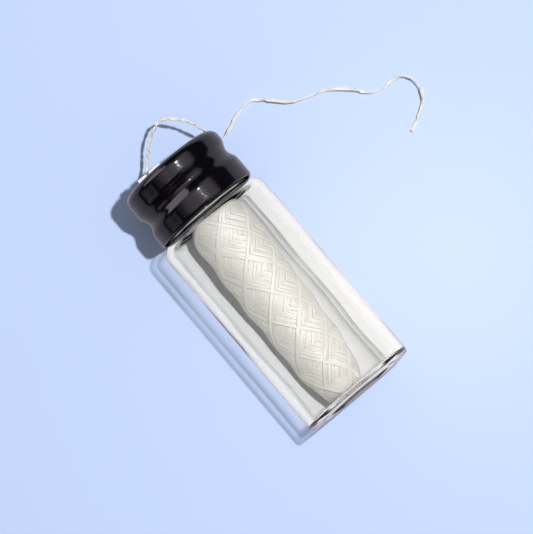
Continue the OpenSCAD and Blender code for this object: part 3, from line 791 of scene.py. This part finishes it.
dust_specks = specks_of_dust()
lacquer, tree, shader = material("black_lacquer", LACQUER_BLACK, 0.1)
dust = place_group(tree, dust_specks, {"Scale": 4800, "Size": 0.5})["Mask"]
feed(tree, shader.inputs["Base Color"], blend(tree, dust, LACQUER_BLACK, DUST_GREY))
peel = noise(tree, coordinates(tree, "Object"), 900, 2)
emboss(tree, shader, reckon(tree, "MULTIPLY_ADD", dust, 0.9, peel), 0.00003, 0.3)
cap.data.materials.append(lacquer)
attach(cap, "cap")
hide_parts("cap_shell")


# Liner: a soft foam disc pressed into the cap, which seals on the glass lip. It is the
# solid of the part's source with a foam finish.
def refinish(node, finish):
    """Give a solid of the part's source its finish."""
    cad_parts[node].data.materials.clear()
    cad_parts[node].data.materials.append(finish)


foam, tree, shader = material("liner_foam", (0.78, 0.77, 0.73), 0.8)
foam_cells = placed(tree, "ShaderNodeTexVoronoi", Vector=coordinates(tree, "Object"),
                    Scale=3500)
emboss(tree, shader, foam_cells.outputs["Distance"], 0.00005, 0.5)
refinish("cap_liner", foam)


# Eyelet: a small ring of plated steel, pressed through panel and liner. Its ends are
# rolled over into flanges that hold the two together.
BARREL_BORE = 0.75
BARREL = 1.15
BORE_ROUND = 0.2
FLANGE_TIP = 1.575
FLANGE_ROUND = 0.175


def fine_scratches():
    """Fine rubbed marks, drawn out along X. Puts out roughness and height."""
    group, given, out = shader_group(
        "rubbed_steel", {"Along X": "Float", "Smooth": "Float", "Rough": "Float"},
        {"Roughness": "Float", "Height": "Float"})
    scale = placed(group, "ShaderNodeCombineXYZ", X=given["Along X"], Y=6000, Z=6000)
    stretch = placed(group, "ShaderNodeMapping", Vector=coordinates(group, "Object"),
                     Scale=scale.outputs["Vector"])
    marks = noise(group, stretch.outputs["Vector"], 1.0, 4)
    feed(group, out["Roughness"],
         spread(group, marks, 0.3, 0.7, given["Smooth"], given["Rough"]))
    feed(group, out["Height"], marks)
    return group


def steel(name, colour, along_x, smooth, rough):
    """Bright steel with rubbed marks, longer along X the smaller along_x is."""
    made, tree, shader = material(name, colour, smooth)
    shader.inputs["Metallic"].default_value = 1.0
    rubbed = place_group(tree, rubbed_steel,
                         {"Along X": along_x, "Smooth": smooth, "Rough": rough})
    feed(tree, shader.inputs["Roughness"], rubbed["Roughness"])
    emboss(tree, shader, rubbed["Height"], 0.00001, 0.4)
    return made


rubbed_steel = fine_scratches()
low_face = LIP + 0.05
eyelet_outline = [(EYELET_MOUTH - BORE_ROUND, BARREL_BORE)]
eyelet_outline += arc((EYELET_MOUTH - BORE_ROUND, BARREL_BORE + BORE_ROUND),
                      BORE_ROUND, 180, 90, 5)
eyelet_outline += arc((EYELET_MOUTH - FLANGE_ROUND, FLANGE_TIP), FLANGE_ROUND, 90, -90, 8)
eyelet_outline += [(PANEL_TOP, BARREL), (low_face, BARREL)]
eyelet_outline += arc((low_face - FLANGE_ROUND, FLANGE_TIP), FLANGE_ROUND, 90, -90, 8)
eyelet_outline += arc((low_face - 0.15, BARREL_BORE + BORE_ROUND), BORE_ROUND, -90, -180, 5)
eyelet_outline += [eyelet_outline[0]]
eyelet = spun_piece("eyelet", eyelet_outline, 64, 50)
eyelet.data.materials.append(
    steel("plated_steel", (0.80, 0.80, 0.82), along_x=6000, smooth=0.08, rough=0.2))
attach(eyelet, "cap")
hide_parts("floss_eyelet")


# Cutter: a strip of spring steel, bent up to a ground edge with a parking notch, and
# riveted to the panel by its foot. Blade and rivet are the solids of the part's source.
refinish("cutter_blade",
         steel("spring_steel", (0.74, 0.75, 0.77), along_x=900, smooth=0.12, rough=0.3))
refinish("cutter_rivet",
         steel("rivet_steel", (0.68, 0.69, 0.71), along_x=6000, smooth=0.25, rough=0.4))


# Floor and light: a pale blue tabletop under one small hard lamp, high on the vial's
# right, with a faint warm pool of light beside the vial. Glass, steel and lacquer mirror
# a ceiling of soft windows, and the rest of the light is even from all round.
TABLE_BLUE = (0.465, 0.565, 0.80)
TABLE_UNDER_GLASS = (0.70, 0.705, 0.71)
TABLE_MIRRORED = (0.49, 0.468, 0.59)
EVEN_LIGHT = (0.323, 0.33, 0.34)
CEILING_DARK = (0.004, 0.004, 0.006)
deselect_all()
bpy.ops.mesh.primitive_plane_add(size=4, location=(0, 0, 0))
floor = bpy.context.object
floor.name = "floor"
tabletop, tree, shader = material("pale_blue_tabletop", TABLE_BLUE, 0.8)
shader.inputs["Specular IOR Level"].default_value = 0.1
path = placed(tree, "ShaderNodeLightPath").outputs
paint = blend(tree, path["Is Camera Ray"], TABLE_UNDER_GLASS, TABLE_BLUE)
mirror_only = reckon(tree, "SUBTRACT", path["Is Glossy Ray"], path["Is Transmission Ray"])
mirror_only.node.use_clamp = True
feed(tree, shader.inputs["Base Color"], blend(tree, mirror_only, paint, TABLE_MIRRORED))
floor.data.materials.append(tabletop)


def hang_lamp(name, kind, watts, spot, aim):
    """Hang a lamp at a spot and turn it to what it is aimed at."""
    data = bpy.data.lights.new(name, kind)
    data.energy = watts
    lamp = bpy.data.objects.new(name, data)
    scene.collection.objects.link(lamp)
    lamp.location = spot
    lamp.rotation_euler = (Vector(aim) - Vector(spot)).to_track_quat("-Z", "Y").to_euler()
    return lamp


def hang_panel(name, side, watts, spot, aim):
    """Hang a small square lamp."""
    lamp = hang_lamp(name, "AREA", watts, spot, aim)
    lamp.data.shape = "RECTANGLE"
    lamp.data.size = lamp.data.size_y = side
    return lamp


key = hang_panel("key_lamp", side=0.018, watts=3.6, spot=(-0.038, -0.152, 0.578),
                 aim=(0, 0, 0))
key.visible_glossy = False
glint = hang_panel("glint_lamp", side=0.02, watts=0.9, spot=(0.128, -0.165, 0.6),
                   aim=(0.02, 0, 0.02))
glint.visible_diffuse = False
glint.visible_transmission = False
pool = hang_lamp("pool_lamp", "SPOT", watts=7, spot=(0, -0.3, 0.9), aim=(-0.02, -0.027, 0))
pool.data.color = (1.0, 0.72, 0.45)
pool.data.spot_size = math.radians(5.2)
pool.data.spot_blend = 1.0
pool.data.shadow_soft_size = 0.02
pool.visible_glossy = False


def window_group():
    """A soft-edged rectangle in the ceiling. Puts out its mask."""
    group, given, out = shader_group(
        "window", {name: "Float" for name in (
            "Across", "Along", "Across Min", "Across Max", "Along Min", "Along Max", "Soft")},
        {"Mask": "Float"})
    masks = []
    for way in ("Across", "Along"):
        sides = []
        for limit, sign in ((" Max", -1), (" Min", 1)):
            gap = reckon(group, "SUBTRACT", given[way], given[way + limit])
            soft = reckon(group, "MULTIPLY", given["Soft"], sign)
            sides.append(spread(group, gap, 0, soft))
        masks.append(reckon(group, "MULTIPLY", *sides))
    feed(group, out["Mask"], reckon(group, "MULTIPLY", *masks))
    return group


world = bpy.data.worlds.new("soft_studio")
scene.world = world
world.use_nodes = True
tree = world.node_tree
direction = coordinates(tree, "Generated")
axes = placed(tree, "ShaderNodeSeparateXYZ", Vector=direction).outputs
ceiling_across = reckon(tree, "DIVIDE", axes["Y"], axes["Z"])
ragged = reckon(tree, "MULTIPLY_ADD", noise(tree, direction, 5, 3), 0.5, axes["X"])
ceiling_along = reckon(tree, "SUBTRACT", ragged, 0.25)
window = window_group()
ceiling = CEILING_DARK
# Each window's reach across and along the ceiling, the softness of its edges, and its
# colour. A later one covers those before it.
for across_min, across_max, along_min, along_max, soft, colour in (
        (-1.25, 0.95, -0.67, 0.75, 0.03, (0.22, 0.20, 0.24)),
        (-1.25, 0.72, -0.67, 0.75, 0.45, (1.02, 0.94, 1.06)),
        (-0.62, 0.05, -0.1, 0.36, 0.25, (1.6, 1.5, 1.7)),
        (1.16, 12.0, -0.45, 0.33, 0.3, (0.52, 0.48, 0.52)),
        (-0.25, 1.3, -0.62, -0.12, 0.05, (0.004, 0.004, 0.005)),
        (0.12, 6.0, 0.62, 0.97, 0.03, (2.4, 2.15, 2.6))):
    mask = place_group(tree, window, {
        "Across": ceiling_across, "Along": ceiling_along, "Soft": soft,
        "Across Min": across_min, "Across Max": across_max,
        "Along Min": along_min, "Along Max": along_max})["Mask"]
    ceiling = blend(tree, mask, ceiling, colour)
path = placed(tree, "ShaderNodeLightPath").outputs
mirrored = reckon(tree, "MAXIMUM", path["Is Glossy Ray"], path["Is Transmission Ray"])
sky = tree.nodes["Background"]
feed(tree, sky.inputs["Color"], blend(tree, mirrored, EVEN_LIGHT, ceiling))
sky.inputs["Strength"].default_value = 1.0
